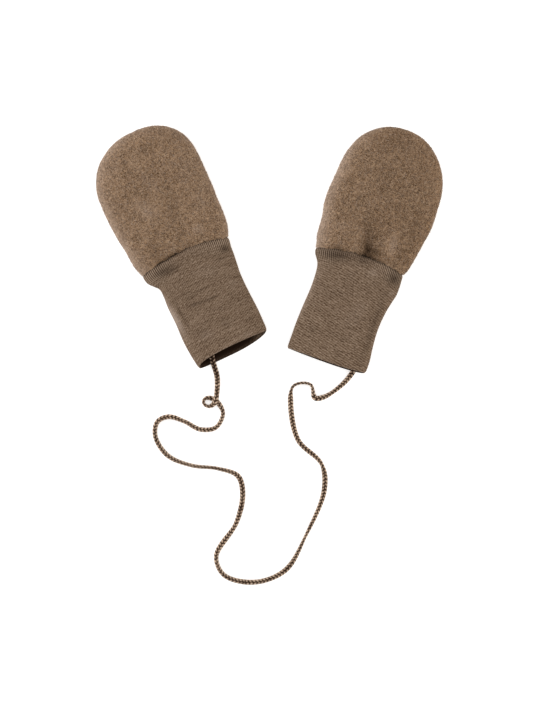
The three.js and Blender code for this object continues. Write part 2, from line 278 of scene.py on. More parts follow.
def stitch_group():
    """Knit stitches on a map whose whole numbers count columns across and rows along.
    A stitch is a V: in each half column a leg rises by Slant of a row from the middle outwards.
    A leg's height is a half sine across the half column times a half sine along the row.
    Rib is 1 on a column's crest and 0 between two columns. Line is a wave that runs askew, by Lean
    waves a column and Lines waves a row, as the yarn's twist draws it. It wavers and fades in patches."""
    group, entry, out = shader_group(
        "knit_stitches",
        [("Map", "NodeSocketVector", (0, 0, 0)), ("Slant", "NodeSocketFloat", 0.8),
         ("Lean", "NodeSocketFloat", 0.3), ("Lines", "NodeSocketFloat", 0.6)],
        [("Height", "NodeSocketFloat"), ("Rib", "NodeSocketFloat"), ("Line", "NodeSocketFloat")],
    )
    parts = node(group, "ShaderNodeSeparateXYZ", [("Vector", entry.outputs["Map"])])
    column = maths(group, "FRACT", parts.outputs["X"])
    off_middle = maths(group, "ABSOLUTE", maths(group, "SUBTRACT", column, 0.5))
    from_middle = maths(group, "MULTIPLY", off_middle, 2.0)
    rise = maths(group, "MULTIPLY", from_middle, entry.outputs["Slant"])
    row = maths(group, "FRACT", maths(group, "ADD", parts.outputs["Y"], rise))
    across = maths(group, "SINE", maths(group, "MULTIPLY", from_middle, math.pi))
    along = maths(group, "SINE", maths(group, "MULTIPLY", row, math.pi))
    height = maths(group, "MULTIPLY", maths(group, "POWER", across, 0.6), maths(group, "POWER", along, 0.6))
    group.links.new(height, out.inputs["Height"])
    rib = maths(group, "COSINE", maths(group, "MULTIPLY", from_middle, math.pi / 2))
    group.links.new(rib, out.inputs["Rib"])
    askew = maths(group, "MULTIPLY", parts.outputs["X"], entry.outputs["Lean"])
    askew = maths(group, "ADD", askew, maths(group, "MULTIPLY", parts.outputs["Y"], entry.outputs["Lines"]))
    waver = noise(group, entry.outputs["Map"], 0.3, 2.0, 0.6)
    askew = maths(group, "ADD", askew, maths(group, "MULTIPLY", waver, 1.1))
    line = maths(group, "SINE", maths(group, "MULTIPLY", askew, 2 * math.pi))
    patch = spread(group, noise(group, entry.outputs["Map"], 0.7, 2.0, 0.6), 0.34, 0.56, 0.4, 1.0)
    group.links.new(maths(group, "MULTIPLY", line, patch), out.inputs["Line"])
    return group


wool_melange = melange_group()
knit_stitches = stitch_group()


def srgb(red, green, blue):
    """A linear colour from screen values of 0 to 255."""
    return tuple(((c / 255 + 0.055) / 1.055) ** 2.4 for c in (red, green, blue))


def wool(name, dark, middle, light, fibre, tuft, cloud, contrast,
         bump=None, knit=None, pale_and_highlight=None, curl=1.4):
    """Matt wool: melange colour, and a bump of its fibres with a strength and a depth in mm.
    The shade attribute paints shade towards the deep colour below 0, and highlights and paler patches
    towards the lighter one above 0.
    On knit, V stitches and streaks along the rows are read from the stitch map,
    and where the open attribute is high the columns show as clear ribs by painted shade between them
    and a painted highlight on their crests."""
    material = bpy.data.materials.new(name)
    material.use_nodes = True
    tree = material.node_tree
    shader = tree.nodes["Principled BSDF"]
    shader.inputs["Roughness"].default_value = 0.95
    shader.inputs["Specular IOR Level"].default_value = 0.06
    shader.inputs["Sheen Weight"].default_value = 0.03
    shader.inputs["Sheen Roughness"].default_value = 0.45
    shader.inputs["Sheen Tint"].default_value = (1.0, 0.82, 0.7, 1)
    place = node(tree, "ShaderNodeTexCoord")
    melange = node(tree, "ShaderNodeGroup", node_tree=wool_melange)
    if knit:
        uv_map = node(tree, "ShaderNodeUVMap", uv_map="stitches").outputs["UV"]
    else:
        tree.links.new(place.outputs["Object"], melange.inputs["Vector"])
    for socket, value in (("Dark", dark), ("Middle", middle), ("Light", light)):
        melange.inputs[socket].default_value = (*value, 1)
    noises = {"Fibre": fibre, "Tuft": tuft, "Cloud": cloud, "Contrast": contrast, "Curl": curl}
    for socket, value in noises.items():
        melange.inputs[socket].default_value = value
    colour, height = melange.outputs["Colour"], melange.outputs["Height"]
    deep = tuple(c * share for c, share in zip(dark, (0.3, 0.27, 0.25)))  # in folds, where light is lost
    shade = node(tree, "ShaderNodeAttribute", attribute_name="shade").outputs["Fac"]
    if knit:
        values = [("Vector", uv_map), ("Scale", knit["stitch"]), ("Rotation", (0, 0, knit["grain_turn"]))]
        in_mm = node(tree, "ShaderNodeMapping", values)
        values = [("Vector", in_mm.outputs["Vector"]), ("Scale", knit["grain"])]
        grain = node(tree, "ShaderNodeMapping", values)
        tree.links.new(grain.outputs["Vector"], melange.inputs["Vector"])
        values = [("Map", uv_map), ("Slant", 0.8), ("Lean", knit["lean"]), ("Lines", knit["lines"])]
        stitches = node(tree, "ShaderNodeGroup", values, node_tree=knit_stitches)
        long_map = node(tree, "ShaderNodeMapping", [("Vector", uv_map), ("Scale", knit["streak"])])
        streak = noise(tree, long_map.outputs["Vector"], 1.0, 3.0, 0.6)
        dark_depth, light_depth = knit["streak_depth"], knit["streak_depth"] * 0.75
        colour = mix(tree, spread(tree, streak, 0.50, 0.31, 0, dark_depth), colour, dark)
        colour = mix(tree, spread(tree, streak, 0.52, 0.72, 0, light_depth), colour, light)
        line = stitches.outputs["Line"]
        colour = mix(tree, spread(tree, line, 0.0, -1.0, 0, knit["line_depth"]), colour, dark)
        colour = mix(tree, spread(tree, line, 0.0, 1.0, 0, knit["line_depth"]), colour, light)
        rib_shade_and_highlight = node(tree, "ShaderNodeAttribute", attribute_name="open").outputs["Fac"]
        # Painted shade in the grooves between rib columns and a painted highlight on their crests.
        rib_valley_shade = spread(tree, stitches.outputs["Rib"], 0.75, 0.15)
        crest = spread(tree, stitches.outputs["Rib"], 0.70, 1.0)
        colour = mix(tree, maths(tree, "MULTIPLY", rib_valley_shade, rib_shade_and_highlight), colour, deep)
        colour = mix(tree, maths(tree, "MULTIPLY", crest, rib_shade_and_highlight), colour, light)
        height = maths(tree, "ADD", maths(tree, "MULTIPLY", height, 0.35), stitches.outputs["Height"])
    # Painted shade below 0, and painted highlights and paler patches above 0, from the shade attribute.
    colour = mix(tree, spread(tree, shade, 0.0, -1.0), colour, deep)
    colour = mix(tree, spread(tree, shade, 0.0, 1.0), colour, pale_and_highlight or light)
    tree.links.new(colour, shader.inputs["Base Color"])
    if bump:
        values = [("Height", height), ("Strength", bump[0]), ("Distance", bump[1] * MM)]
        relief = node(tree, "ShaderNodeBump", values)
        tree.links.new(relief.outputs["Normal"], shader.inputs["Normal"])
    return material


cord_wool = wool("cord_wool", srgb(53, 36, 24), srgb(110, 87, 69), srgb(195, 173, 152),
                 fibre=1300, tuft=700, cloud=90, contrast=0.6, bump=(0.5, 0.2))


def lumps(x, y, size, seed):
    """Smooth random lumps of about that size, from -1 to 1:
    a square table of random values, read between its corners by smooth steps and repeated past its ends."""
    table = np.random.default_rng(seed).uniform(-1, 1, (256, 256))
    u, v = x / size + 100, y / size + 100
    i, j = np.floor(u).astype(int), np.floor(v).astype(int)
    a, b = u - i, v - j
    a, b = a * a * (3 - 2 * a), b * b * (3 - 2 * b)
    i, j = i % 255, j % 255
    low = table[i, j] * (1 - a) + table[i + 1, j] * a
    high = table[i, j + 1] * (1 - a) + table[i + 1, j + 1] * a
    return low * (1 - b) + high * b


def knitted_cord():
    """The flat tube swept along its route, its section an ellipse turned over by the smoothed table.
    A turned ring is lifted so that it rests on the table. Facing is the angle round the section from the
    side line seen from above, so that each face's column of stitches keeps to the middle of what shows.
    Across its column a leg rises as a sine from half height at the middle line and sinks again as a
    square at the side. Along the cord it is a half sine, to a power that makes the gaps wide at the
    middle line and narrow at the side. The row's start slants with the distance from the middle line,
    drifts at random, and comes later on one side of it. The leg swells the section and sets its painted
    shade: dark in the gaps and at the sides, a painted highlight on the legs."""
    rings, length = smooth_route(CORD_ROUTE + PLACE, CORD_RING_STEP)
    count = CORD_RING_POINTS
    turn = np.radians(np.interp(length, CORD_TURN[:, 0], CORD_TURN[:, 1]))
    eased = 9  # rings each way
    kernel = np.hanning(2 * eased + 1) / np.hanning(2 * eased + 1).sum()
    turn = np.convolve(np.pad(turn, eased, "edge"), kernel, "valid")
    half_width, half_thick = CORD_WIDTH / 2, CORD_THICKNESS / 2
    tall = np.hypot(half_thick * np.cos(turn), half_width * np.sin(turn))
    rings[:, 2] += np.maximum(0, tall - half_thick) * 0.85 - 0.1
    rings[:, 2] = np.maximum(rings[:, 2], tall + 0.06)
    ahead = np.gradient(rings, axis=0)
    ahead /= np.linalg.norm(ahead, axis=1)[:, None]
    level = np.cross([0, 0, 1.0], ahead)
    level /= np.linalg.norm(level, axis=1)[:, None]
    upright = np.cross(ahead, level)
    around = np.linspace(0, 2 * math.pi, count, endpoint=False)[None, :]
    facing = around + np.arctan2(half_thick * np.sin(turn), half_width * np.cos(turn))[:, None]
    middle = np.abs((facing / math.pi) % 1 - 0.5) * 2
    along = length[:, None] + 0 * around
    drift = 0.16 * lumps(along, 3 * np.cos(facing), 5, 21)
    row = (along / CORD_STITCH + 0.6 * middle + 0.3 * (np.cos(facing) > 0) + drift) % 1
    rise = 0.5 + 0.5 * np.sin(math.pi * np.minimum(middle, 0.5))
    across_leg = np.where(middle < 0.5, rise, 1 - (2 * middle - 1) ** 2 * 0.45)
    leg = across_leg * np.sin(math.pi * row) ** (1.1 - 0.7 * middle)
    swell = 1 + 0.14 * (leg - 0.75)
    wide = half_width * np.cos(around) * swell
    thick = half_thick * np.sin(around) * swell
    c, s = np.cos(turn)[:, None], np.sin(turn)[:, None]
    across, up = wide * c - thick * s, wide * s + thick * c
    surface = rings[:, None, :] + level[:, None, :] * across[..., None] + upright[:, None, :] * up[..., None]
    surface[..., 2] = np.maximum(surface[..., 2], 0.02)
    first_end = np.repeat(rings[:1] - ahead[:1] * 0.5, count, 0)
    last_end = np.repeat(rings[-1:] + ahead[-1:] * 0.5, count, 0)
    points = np.concatenate([first_end, surface.reshape(-1, 3), last_end])
    uneven = 0.45 * lumps(along, 4 * np.cos(facing), 1.5, 22) + 0.3 * lumps(along, 2 * np.sin(facing), 6, 23)
    # The stitches' painted shade and highlight, random unevenness, and a painted shadow near the start,
    # where the cord lies in the left cuff's mouth.
    mouth_shadow = np.exp(-(((along - 18) / 18) ** 2))
    shade_and_tone = 3.6 * leg - 2.35 + uneven - 0.5 * mouth_shadow
    shade = np.concatenate([np.zeros(count), shade_and_tone.ravel(), np.zeros(count)])
    faces = grid_faces(len(rings) + 2, count, round_columns=True)[:, ::-1]
    piece = mesh_object("knitted_cord", points, faces, cord_wool, merge=1e-4, shade=np.clip(shade, -1, 1))
    return piece, rings, length[-1]


cord, cord_rings, cord_length = knitted_cord()
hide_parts("cord")
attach(cord, "root")


# The hands: two layers of thick brushed wool fleece with one rounded cut, seamed edge to edge
# inside out and turned, so that the seam runs round the side. The top layer is crowned,
# the palm lies flat on the table, and the wrist edge turns down into the cuff's seam.
FLEECE_WALL = 2.6
SEAM_GAP = 0.3
SIDE_SEAM_HEIGHT = 4.4
CROWN_POWER = 3.4  # how level the top lies before it falls to the seam
FLAT_GAIN = 1.35  # how far out the palm lies flat
WRIST_BOW = 4.8
BOW_REACH = 40
NOSE_REACH = 1.6  # the last stretch before the wrist seam, where the fleece rolls over it
NAP_FIBRES = {"top": 38000, "palm": 12000}

LEFT = dict(
    name="left", x=-54.1, y=-4.0, lean=25.5, slant=-0.5,
    tip=dict(length=34.4, left=2.0, right=2.5),
    body=np.array([  # from the wrist, left half-width, right half-width, crown height
        (0, 32.4, 30.2, 10.2), (2, 32.9, 31.1, 11.1), (4, 33.5, 32.0, 11.8), (8, 34.4, 33.1, 12.3),
        (13, 35.0, 34.0, 12.8), (20, 35.4, 34.4, 13.0), (31, 36.6, 35.2, 13.2), (43, 37.2, 35.7, 13.2),
        (55, 36.7, 36.0, 13.0),
    ]),
    folds=np.array([  # middle x and y, run x and y, width, depth
        (-1, 21, 0.5, 17, 5.5, 0.8), (-13, 8, 10, -3, 4.5, 0.7), (22, -7, 5, 2, 4, 0.7),
        (-19, -24, -1, 13, 3.5, 0.7), (7, 32, -4, -20, 3.5, 0.35), (-19, -33, -1.9, 9, 1.8, 0.45),
    ]),
    # The crevice's depth also sets how dark the painted shadow in it is.
    crevice=(-0.36, 0.3, 0.95),  # of the wrist seam: middle and width as shares of the half-width, depth
    # Below: how deep the wrist seam dips, painted shade over the whole mitten for its distance from the
    # window, and the amount and width of the painted highlight along the rim on the window's side.
    dip=0.6, shade_and_tone=0.0, rim=(0.23, 4.8), nap_seed=15,
)
RIGHT = dict(
    name="right", x=60.6, y=-7.9, lean=-19.6, slant=1.0,
    tip=dict(length=40.2, left=2.2, right=2.0),
    body=np.array([
        (0, 31.5, 29.2, 10.2), (2, 31.9, 30.2, 11.1), (4, 32.4, 31.0, 11.8), (8, 33.4, 31.9, 12.3),
        (13, 33.9, 32.8, 12.8), (20, 34.5, 33.9, 13.0), (31, 36.3, 35.8, 13.2), (40, 36.3, 36.5, 13.2),
        (52, 35.0, 35.9, 13.0),
    ]),
    folds=np.array([
        (1, 9, -2.6, 8, 6.5, 1.5), (-6, 27, -5, 10, 7, 0.7), (-17, -4, 8, -1, 4, 0.8),
        (24, -7, 3, 4, 4, 0.8), (19, -29, -3, 16, 4.5, 0.7), (0.6, 8, -1.5, 5, 2.8, 0.6),
        (24, -30, 1, -20, 2.5, 0.4),
    ]),
    crevice=(0.12, 0.3, 0.7),
    # Painted shade over this whole mitten, which lies farther from the window, and its rim's painted
    # highlight.
    dip=0.5, shade_and_tone=-0.1, rim=(0.4, 7.0), nap_seed=16,
)


def between(table, column, at):
    """A smooth value between a table's rows: a cubic whose slopes come from both sides of a row."""
    x, y = table[:, 0], table[:, column]
    slope = np.concatenate([[(y[1] - y[0]) / (x[1] - x[0])], (y[2:] - y[:-2]) / (x[2:] - x[:-2]),
                            [(y[-1] - y[-2]) / (x[-1] - x[-2])]])
    at = np.clip(at, x[0], x[-1])
    i = np.clip(np.searchsorted(x, at, "right") - 1, 0, len(x) - 2)
    span, rise = x[i + 1] - x[i], y[i + 1] - y[i]
    s = (at - x[i]) / span
    a, b = slope[i] * span - rise, rise - slope[i + 1] * span
    return y[i] + rise * s + s * (1 - s) * (a * (1 - s) + b * s)


def crown_share(r):
    """1 on a section's middle line, 0 at its edge, level on top and upright at the edge."""
    return np.sqrt(np.maximum(0, 1 - np.abs(r) ** CROWN_POWER))


def fold_depth(folds, x, y):
    """The soft troughs: each a bell along its run and a narrower one across it."""
    total = np.zeros(np.broadcast(x, y).shape)
    for fx, fy, rx, ry, width, depth in folds:
        run = math.hypot(rx, ry)
        along = ((x - fx) * rx + (y - fy) * ry) / run**2
        across = ((x - fx) * ry - (y - fy) * rx) / (run * width)
        total += depth * np.exp(-1.5 * along**2 - 2 * across**2)
    return total


def bow(mitten, r, from_wrist):
    """How far cloth near the wrist is drawn towards the tip: most in the middle, fading with distance."""
    fade = np.maximum(0, 1 - np.abs(from_wrist) / BOW_REACH) ** 2
    return (WRIST_BOW * (1 - r**2) + mitten["slant"] * r) * fade


def laid(mitten, points):
    """A mitten's own points turned by its lean and put where it lies."""
    lean = math.radians(mitten["lean"])
    c, s = math.cos(lean), math.sin(lean)
    x, y, z = points[..., 0], points[..., 1], points[..., 2]
    place = [mitten["x"] + x * c - y * s + PLACE[0], mitten["y"] + x * s + y * c + PLACE[1], z]
    return np.stack(place, -1)


def spoke_ends(mitten, side_steps, tip_steps):
    """The spokes of a hand, clockwise from the left end of the wrist, over the tip, to the right end.
    Beside the hand a spoke runs level from the middle line to the edge. Round the tip the spokes fan out
    from the shoulder's middle to a superellipse with a power of its own on each side."""
    body, tip = mitten["body"], mitten["tip"]
    shoulder = body[-1, 0]
    y = shoulder * np.linspace(0, 1, side_steps, endpoint=False) ** 1.25
    angle = np.linspace(math.pi, 0, tip_steps + 1)
    c, s = np.cos(angle), np.sin(angle)
    half = np.where(c < 0, body[-1, 1], body[-1, 2])
    power = 2 / np.where(c < 0, tip["left"], tip["right"])
    tip_x = half * np.sign(c) * np.abs(c) ** power
    tip_y = shoulder + tip["length"] * np.abs(s) ** power
    start_y = np.concatenate([y, np.full(tip_steps + 1, shoulder), y[::-1]])
    end_x = np.concatenate([-between(body, 1, y), tip_x, between(body, 2, y[::-1])])
    end_y = np.concatenate([y, tip_y, y[::-1]])
    crown = between(body, 3, start_y)
    return start_y, end_x, end_y, crown


def fleece_face(mitten, top, inset, side_steps, tip_steps, rings, felt):
    """One face of a fleece layer, as a grid of spokes and rings, and the painted highlight at its rim.
    Top: seam height plus the crown's share, less the folds. Palm: flat, turning up to the seam.
    The painted highlight is a bell from the edge all round, wider and stronger towards the window.
    A felted face is pushed out by lumps of three sizes and rounds in at the side seam,
    and near the wrist it noses over the cuff's seam by a half sine and turns down into it as a square."""
    start_y, end_x, end_y, crown = (a[:, None] for a in spoke_ends(mitten, side_steps, tip_steps))
    r = np.sin(np.linspace(0, math.pi / 2, rings + 1))[None, :]
    reach = np.hypot(end_x, end_y - start_y)
    share = r * (1 - inset / reach)
    x = end_x * share
    flat_y = start_y + (end_y - start_y) * share
    y = flat_y + bow(mitten, r * np.sign(end_x), flat_y) + SEAM_GAP / 2
    seam = SIDE_SEAM_HEIGHT + (SEAM_GAP / 2 if top else -SEAM_GAP / 2)
    if top:
        z = seam + (crown - inset - fold_depth(mitten["folds"], x, y) - seam) * crown_share(r)
    else:
        z = inset + (seam - inset) * (1 - np.minimum(1, FLAT_GAIN * crown_share(r)))
    points = np.stack(np.broadcast_arrays(x, y, z), -1).astype(float)
    lean = math.radians(mitten["lean"])
    # Painted highlight along the rim, as the window light gives it: thin all round, wider on the window's
    # side.
    towards_window = (end_y - start_y) / reach * math.sin(lean) - end_x / reach * math.cos(lean)
    from_edge = reach * (1 - r)
    amount, width = mitten["rim"]
    rim = 0.16 * np.exp(-from_edge / 1.2) + 0.1 * np.exp(-((from_edge / 4.5) ** 1.3))
    rim = rim + amount * np.clip(towards_window + 0.1, 0, 1) * np.exp(-((from_edge / width) ** 1.3))
    if felt:
        outward = np.stack(np.broadcast_arrays(end_x / reach, (end_y - start_y) / reach, 0 * reach), -1)
        near_seam = np.clip(1 - np.abs(points[..., 2] - seam) / 1.2, 0, 1)
        points -= outward * (0.4 * near_seam**2)[..., None]
        lump = 0.06 * lumps(x, y, 1.2, 1) + 0.06 * lumps(x, y, 2.4, 2) + 0.12 * lumps(x, y, 7, 3)
        middle = np.clip(r, 0, 1) ** 6
        push = lump * (1 if top else 0.6)
        away = outward * middle[..., None] + np.array([0, 0, 1.0 if top else 0.0]) * (1 - middle)[..., None]
        points += away * push[..., None]
        nose = np.clip(1 - (flat_y + 0 * r) / NOSE_REACH, 0, 1)
        if top:
            high = np.clip((points[..., 2] - seam) / 3, 0, 1)
            overhang = 1.1 + 0.5 * lumps(x, 0 * x, 1.9, 4) + 0.3 * lumps(x, 0 * x, 0.8, 7)
            points[..., 1] -= overhang * np.sin(math.pi * nose) * high
            points[..., 2] -= nose**2 * np.minimum(1.8, (points[..., 2] - seam) * 0.5)
        points -= outward * (nose**2 * middle * 0.6)[..., None]
    return points, rim


def closed_wall(outer, inner, top):
    """A closed layer from an outer and an inner grid: both faces, the rim at the side seam,
    and the wrist's rims."""
    rows, columns = outer.shape[:2]
    size = rows * columns
    faces = grid_faces(rows, columns)
    outer_faces = faces[:, ::-1] if top else faces
    inner_faces = (faces if top else faces[:, ::-1]) + size
    numbers = np.arange(size).reshape(rows, columns)
    rims = []
    for line, turned in ((numbers[:, -1], False), (numbers[0], True), (numbers[-1], False)):
        a, b = line[:-1], line[1:]
        quad = np.stack([a, b, b + size, a + size], -1)
        rims.append(quad[:, ::-1] if turned != top else quad)
    points = np.concatenate([outer.reshape(-1, 3), inner.reshape(-1, 3)])
    return points, np.concatenate([outer_faces, inner_faces, *rims])


# Soft darker (below 0) and paler marks on the cloth: middle x and y, run x and y, width, amount.
# The darker ones are partly blotches in the fleece's colour, partly painted shade in the dent and folds.
LEFT["fleece_marks"] = np.array([
    (2, 76, 5, -2, 5, -0.12), (6, 74, 14, -3, 4, -0.08), (9.6, 64.6, 4, -1, 4, -0.08),
    (-12, 65, 5, -1, 4, -0.12), (-17, 52, 4, 0, 3, -0.09), (7, 44, -4, -14, 5, -0.1),
    (5, 30, -4, -12, 5, -0.2), (1, 14, -2, -6, 4, -0.14), (-11, 38, 5, -8, 6, 0.14),
    (0, 51, 4, -8, 4, 0.08), (14, 12.7, 5, -2, 4, 0.14), (25, 31, 4, 10, 6, 0.06),
    (-18, 71, 5, 3, 5, 0.05), (-26, 23, 4, -2, 5, -0.08), (24, 52, 2, 12, 5, 0.06),
    (-14, 14, 5, 4, 5, -0.07), (-6, 8, 5, 3, 4, 0.1),
])
RIGHT["fleece_marks"] = np.array([
    (-7.5, 84, 5, 1, 5, -0.12), (-7.5, 61, 6, 2, 5, -0.1), (-14.5, 37, 4, 2, 5, -0.14),
    (11, 52, 6, 1, 3, -0.12), (-3, 51, 8, 3, 7, -0.06), (-20, 18, 5, 4, 5, 0.16),
    (15.5, 17, -2, 11, 4.5, 0.28), (-20, 40, 4, 8, 4, 0.05), (25.5, 36, -1, 18, 3.6, -0.16),
    (-19.5, 74.7, 3, 4, 4, 0.10), (1, 9.5, -2.6, 7, 5, -0.55), (-1.5, 19, -2.6, 7, 5.5, -0.3),
    (-5, 30, -2, 8, 6, -0.1), (7.4, 9, 3.4, -2.6, 4.6, -0.5), (1.5, 8, 1, 4, 2.6, -0.28),
    (4, 19, 1.6, 1.2, 1.3, -0.3), (-18, 3.2, 9, 1.4, 1.8, -0.3),
])
rim_highlight_and_paler_patches = srgb(198, 179, 164)
fleece_wool = wool("fleece_wool", srgb(68, 46, 26), srgb(138, 111, 85), srgb(180, 153, 127), pale_and_highlight=rim_highlight_and_paler_patches,
                   fibre=1750, tuft=360, cloud=60, contrast=1.15, bump=(0.4, 0.25))
nap_wool = wool("nap_wool", srgb(72, 50, 30), srgb(140, 113, 87), srgb(184, 157, 130), pale_and_highlight=rim_highlight_and_paler_patches,
                fibre=1750, tuft=360, cloud=60, contrast=0.9)


def crevice_depth(mitten, c):
    """How deep the wrist seam's crevice is at a share c of the half-width: a flat-topped bell."""
    middle, width, depth = mitten["crevice"]
    return depth * np.exp(-(((c - middle) / width) ** 4))


def fleece_shade(mitten, points, rim):
    """The fleece's shade: the mitten's overall painted shade, its soft marks added up as bells, its painted
    highlight at the rim, and a painted shadow in the wrist crevice, a bell of the distance from the seam."""
    x, y = points[..., 0], points[..., 1]
    c = np.clip(x / mitten["body"][0, 1:3].mean(), -1, 1)
    from_wrist = np.maximum(0, y - bow(mitten, c, 0 * c))
    reach = 1.3 + 1.0 * lumps(x, y, 2.2, 5)
    on_top = points[..., 2] > SIDE_SEAM_HEIGHT
    shadow = crevice_depth(mitten, c) * np.exp(-((from_wrist / reach) ** 2)) * on_top
    return mitten["shade_and_tone"] + fold_depth(mitten["fleece_marks"], x, y) + rim - 0.6 * shadow


def nap(name, mitten, outer, rim, top, count, seed):
    """Loose fibres of the brushed face: thin three-sided needles, rooted at random all over the outer grid.
    Each lies along the cloth in a direction of its own, lifts a little, and has its own shade."""
    rng = np.random.default_rng(seed)
    corner = [outer[:-1, :-1], outer[1:, :-1], outer[1:, 1:], outer[:-1, 1:]]
    cross = np.cross(corner[2] - corner[0], corner[3] - corner[1]).reshape(-1, 3)
    area = np.linalg.norm(cross, axis=1)
    pick = rng.choice(len(area), count, p=area / area.sum())
    a, b = rng.random((2, count, 1))
    flat = [c.reshape(-1, 3)[pick] for c in corner]
    root = (flat[0] * (1 - a) + flat[1] * a) * (1 - b) + (flat[3] * (1 - a) + flat[2] * a) * b
    root_highlight = rim[:-1, :-1].ravel()[pick]
    normal = cross[pick] / area[pick][:, None]
    outward = 1 if top else -1
    normal = normal * np.where(outward * normal[:, 2:] < 0, -1, 1)
    heading = rng.normal(size=(count, 3))
    heading -= normal * (heading * normal).sum(1)[:, None]
    heading /= np.linalg.norm(heading, axis=1)[:, None]
    length = rng.uniform(0.7, 1.7, (count, 1))
    lift = rng.uniform(0.06, 0.42, (count, 1)) * (1 if top else 0.5)
    tip = root + heading * length + normal * lift * length
    side = np.cross(heading, normal)
    width = rng.uniform(0.045, 0.09, (count, 1))
    base = root - normal * 0.08
    corners = [base + side * width, base - side * width, base + normal * width * 1.6]
    points = np.stack([*corners, tip], 1)
    points[..., 2] = np.maximum(points[..., 2], 0.03)
    first = np.arange(count)[:, None] * 4
    faces = np.concatenate([first + [0, 1, 3], first + [1, 2, 3], first + [2, 0, 3], first + [0, 2, 1]])
    # Each fibre's shade is random, plus the fleece's painted shade and painted highlight where it is rooted.
    shade = np.repeat(rng.normal(-0.03, 0.55, count) + fleece_shade(mitten, root, root_highlight), 4)
    points = laid(mitten, points.reshape(-1, 3))
    return mesh_object(name, points, faces, nap_wool, shade=np.clip(shade, -1, 1))


def hand(mitten, top):
    """A fleece layer of one hand with the loose nap on its outer face. Its inside is painted dark, as shade.
    """
    side_steps, tip_steps, rings = (75, 150, 56) if top else (50, 100, 34)
    outer, rim = fleece_face(mitten, top, 0.0, side_steps, tip_steps, rings, True)
    inner, _ = fleece_face(mitten, top, FLEECE_WALL, side_steps, tip_steps, rings, False)
    points, faces = closed_wall(outer, inner, top)
    # The inner face gets painted shade, -0.7 all over.
    shade = np.concatenate([fleece_shade(mitten, outer, rim).ravel(), np.full(inner[..., 0].size, -0.7)])
    kind = "top" if top else "palm"
    name = f"{mitten['name']}_{kind}_panel"
    panel = mesh_object(f"{name}_fleece", laid(mitten, points), faces, fleece_wool, merge=2e-4, shade=shade)
    seed = mitten["nap_seed"] + (2 if top else 0)
    fuzz = nap(f"{name}_nap", mitten, outer, rim, top, NAP_FIBRES[kind], seed)
    for piece in (panel, fuzz):
        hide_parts(name)
        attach(piece, "root")


for mitten in (LEFT, RIGHT):
    for is_top in (True, False):
        hand(mitten, is_top)


# The cuffs: a tube of fine wool jersey for each, doubled, so that its hem is a soft fold.
# It is knitted lengthwise, its columns run from wrist to hem, and it is stretched onto the hand's
# wrist edge, where its columns open into clear ribs. The left mouth gapes, the right one nearly shuts.
COLUMN_WIDTH = 1.39  # of the stitches, and the height of their rows
ROW_HEIGHT = 0.9
CUFF_WALL = 2.0
HEM_WALL = 1.2  # the fold itself is pressed thinner
CORNER = 0.6  # the mouth's corners are rounded over the last stretch of the cuff
CUFF_LENGTH = 67.5
MOUTH_POWER = 5

LEFT["cuff"] = np.array([
    (0, 32.3, 30.1, 9.9), (3.5, 31.8, 29.6, 10.4), (6, 30.8, 29.1, 10.5), (9, 28.2, 28.9, 10.3),
    (12, 25.7, 28.6, 10.2), (17, 25.3, 28.0, 10.1), (25, 25.9, 27.0, 10.1), (37, 25.8, 26.9, 10.3),
    (50, 26.3, 27.3, 10.7), (60, 25.7, 27.2, 11.3), (67.5, 24.7, 26.9, 11.9),
])
LEFT["mouth"] = dict(top=2.5, under=-2.9, left=-2.0, right=1.6, left_power=0.65, under_power=1.2)
RIGHT["cuff"] = np.array([
    (0, 31.4, 29.1, 9.9), (3.5, 30.4, 29.3, 10.4), (6, 28.8, 29.5, 10.5), (9, 27.0, 29.6, 10.3),
    (13, 26.1, 29.4, 10.2), (18, 25.7, 28.2, 10.1), (26, 25.6, 26.5, 10.1), (38, 26.4, 25.5, 10.1),
    (50, 27.0, 26.2, 10.2), (60, 27.0, 27.4, 10.3), (67.5, 27.0, 27.4, 10.3),
])
RIGHT["mouth"] = dict(top=-1.0, under=-1.75, left=-1.2, right=0.4, left_power=2.0, under_power=0.9)

# Marks as on the fleece: painted shade at the seam's corners and along the edges' folds, painted highlights
# along the cuffs' left edges, towards the window, a few paler patches, and the left cuff's main streaks.
LEFT["knit_marks"] = np.array([
    (-17, -3, 11, -1, 4.4, -0.55), (24.6, -6.4, 3.4, -1.1, 3.6, -0.6), (-25, -33, -1.2, 14, 3.6, 0.46),
    (4.4, -32.3, 5.3, -0.4, 0.9, -0.32), (23.8, -26.6, 3.2, -0.2, 0.9, -0.28),
    (4.7, -40.7, 6, -0.4, 1, -0.24), (-0.8, -24.3, 4, -0.3, 0.9, -0.3), (19.1, -11.7, 5, -0.3, 1, -0.3),
    (-14.6, -47.9, 6, -0.4, 1, -0.28), (-9.1, -31.1, 5, -0.4, 1, -0.28),
    (23.7, -41.8, 3.5, -0.3, 0.9, -0.3), (20, -54.6, 4.5, -0.3, 0.9, -0.28),
    (-19.4, -33, -0.8, 14, 1.4, -0.3), (-3.5, -31.6, 12, -0.7, 1.8, -0.24), (-9, -24, 9, -1, 3.5, -0.12),
    (4.3, -50.7, 4, -2, 4, -0.2), (14, -64, 6, 0, 3, 0.1), (-11, -52, 5, -2, 5, 0.08),
    (8, -15, 8, -2, 6, 0.05), (20, -30, 5, 0, 6, 0.05),
])
